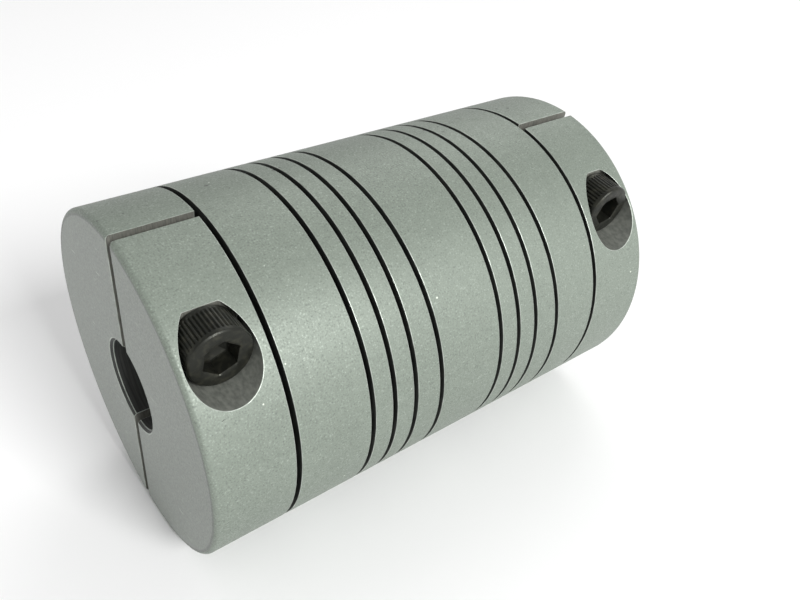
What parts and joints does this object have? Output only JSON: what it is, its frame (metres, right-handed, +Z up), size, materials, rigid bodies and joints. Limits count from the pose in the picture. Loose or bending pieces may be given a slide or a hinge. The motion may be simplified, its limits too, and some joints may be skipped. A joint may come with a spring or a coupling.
{
  "type": "helical flexure shaft coupling",
  "caption": "Round clamp-type shaft coupling machined from bar, with helical-slot flexures, a solid middle sleeve and split clamp hubs closed by socket-head screws.",
  "frame": {"origin": "middle of the coupling, on the shaft line", "axes": "+X along the shaft line from the left hub to the right hub, +Z up, the removable clamp caps face -Y"},
  "size_m": [0.0644, 0.0412, 0.0412],
  "materials": {
    "body": "bead-blasted and hard-anodised, matte grey",
    "screw": "black oxide"
  },
  "bodies": {
    "left_hub": {"left_hub": "body"},
    "left_beam_1": {"left_coil_1": "body"},
    "left_beam_2": {"left_coil_2": "body"},
    "left_beam_3": {"left_coil_3": "body"},
    "left_beam_4": {"left_coil_4": "body"},
    "left_beam_5": {"left_coil_5": "body"},
    "sleeve": {"centre_sleeve": "body", "left_coil_6": "body"},
    "right_beam_1": {"right_coil_1": "body"},
    "right_beam_2": {"right_coil_2": "body"},
    "right_beam_3": {"right_coil_3": "body"},
    "right_beam_4": {"right_coil_4": "body"},
    "right_beam_5": {"right_coil_5": "body"},
    "right_hub": {"right_hub": "body", "right_coil_6": "body"},
    "left_cap": {"left_cap": "body"},
    "left_screw_upper": {"left_screw_upper": "screw"},
    "left_screw_lower": {"left_screw_lower": "screw"},
    "right_cap": {"right_cap": "body"},
    "right_screw_upper": {"right_screw_upper": "screw"},
    "right_screw_lower": {"right_screw_lower": "screw"}
  },
  "joints": [
    {"name": "left_tilt_1", "type": "hinge", "parent": "left_hub", "child": "left_beam_1", "pos_m": [-0.01476, 0, 0], "axis": [0, 1, 0], "range_deg": [-0.8, 0.8], "stiffness_Nm_per_rad": 8.3, "deforming": ["left_coil_1"]},
    {"name": "left_swing_1", "type": "hinge", "parent": "left_beam_1", "child": "left_beam_2", "pos_m": [-0.01246, 0, 0], "axis": [0, 0, 1], "range_deg": [-0.8, 0.8], "stiffness_Nm_per_rad": 8.3, "deforming": ["left_coil_2"]},
    {"name": "left_stretch", "type": "slide", "parent": "left_beam_2", "child": "left_beam_3", "axis": [1, 0, 0], "range_m": [-0.00015, 0.00015], "stiffness_N_per_m": 23300, "deforming": ["left_coil_3"]},
    {"name": "left_twist", "type": "hinge", "parent": "left_beam_3", "child": "left_beam_4", "pos_m": [-0.0095, 0, 0], "axis": [1, 0, 0], "range_deg": [-1, 1], "stiffness_Nm_per_rad": 105.8, "deforming": ["left_coil_4"]},
    {"name": "left_swing_2", "type": "hinge", "parent": "left_beam_4", "child": "left_beam_5", "pos_m": [-0.00802, 0, 0], "axis": [0, 0, 1], "range_deg": [-0.8, 0.8], "stiffness_Nm_per_rad": 8.3, "deforming": ["left_coil_5"]},
    {"name": "left_tilt_2", "type": "hinge", "parent": "left_beam_5", "child": "sleeve", "pos_m": [-0.00654, 0, 0], "axis": [0, 1, 0], "range_deg": [-0.8, 0.8], "stiffness_Nm_per_rad": 8.3, "deforming": ["left_coil_6"]},
    {"name": "right_tilt_1", "type": "hinge", "parent": "sleeve", "child": "right_beam_1", "pos_m": [0.00424, 0, 0], "axis": [0, 1, 0], "range_deg": [-0.8, 0.8], "stiffness_Nm_per_rad": 8.3, "deforming": ["right_coil_1"]},
    {"name": "right_swing_1", "type": "hinge", "parent": "right_beam_1", "child": "right_beam_2", "pos_m": [0.00654, 0, 0], "axis": [0, 0, 1], "range_deg": [-0.8, 0.8], "stiffness_Nm_per_rad": 8.3, "deforming": ["right_coil_2"]},
    {"name": "right_stretch", "type": "slide", "parent": "right_beam_2", "child": "right_beam_3", "axis": [1, 0, 0], "range_m": [-0.00015, 0.00015], "stiffness_N_per_m": 23300, "deforming": ["right_coil_3"]},
    {"name": "right_twist", "type": "hinge", "parent": "right_beam_3", "child": "right_beam_4", "pos_m": [0.0095, 0, 0], "axis": [1, 0, 0], "range_deg": [-1, 1], "stiffness_Nm_per_rad": 105.8, "deforming": ["right_coil_4"]},
    {"name": "right_swing_2", "type": "hinge", "parent": "right_beam_4", "child": "right_beam_5", "pos_m": [0.01098, 0, 0], "axis": [0, 0, 1], "range_deg": [-0.8, 0.8], "stiffness_Nm_per_rad": 8.3, "deforming": ["right_coil_5"]},
    {"name": "right_tilt_2", "type": "hinge", "parent": "right_beam_5", "child": "right_hub", "pos_m": [0.01246, 0, 0], "axis": [0, 1, 0], "range_deg": [-0.8, 0.8], "stiffness_Nm_per_rad": 8.3, "deforming": ["right_coil_6"]},
    {"name": "left_cap_slide", "type": "slide", "parent": "left_hub", "child": "left_cap", "axis": [0, -0.9816, -0.1908], "range_m": [-0.00015, 0.00159]},
    {"name": "left_screw_upper_turn", "type": "hinge", "parent": "left_cap", "child": "left_screw_upper", "pos_m": [-0.0277, -0.0128, 0.01239], "axis": [0, -0.9816, -0.1908], "range_deg": [-70, 725]},
    {"name": "left_screw_lower_turn", "type": "hinge", "parent": "left_hub", "child": "left_screw_lower", "pos_m": [-0.0277, 0.0128, -0.01239], "axis": [0, 0.9816, 0.1908], "range_deg": [-70, 725]},
    {"name": "right_cap_slide", "type": "slide", "parent": "right_hub", "child": "right_cap", "axis": [0, -0.9707, -0.2402], "range_m": [-0.00015, 0.00159]},
    {"name": "right_screw_upper_turn", "type": "hinge", "parent": "right_cap", "child": "right_screw_upper", "pos_m": [0.0277, -0.01292, 0.01184], "axis": [0, -0.9707, -0.2402], "range_deg": [-70, 725]},
    {"name": "right_screw_lower_turn", "type": "hinge", "parent": "right_hub", "child": "right_screw_lower", "pos_m": [0.0277, 0.01292, -0.01184], "axis": [0, 0.9707, 0.2402], "range_deg": [-70, 725]}
  ],
  "couplings": [
    {"joint": "left_swing_2", "follows": "left_swing_1", "ratio": 1},
    {"joint": "left_tilt_2", "follows": "left_tilt_1", "ratio": 1},
    {"joint": "right_swing_2", "follows": "right_swing_1", "ratio": 1},
    {"joint": "right_tilt_2", "follows": "right_tilt_1", "ratio": 1},
    {"joint": "left_screw_upper_turn", "follows": "left_cap_slide", "rad_per_m": 7915.8},
    {"joint": "left_screw_lower_turn", "follows": "left_cap_slide", "rad_per_m": 7915.8},
    {"joint": "right_screw_upper_turn", "follows": "right_cap_slide", "rad_per_m": 7915.8},
    {"joint": "right_screw_lower_turn", "follows": "right_cap_slide", "rad_per_m": 7915.8}
  ]
}
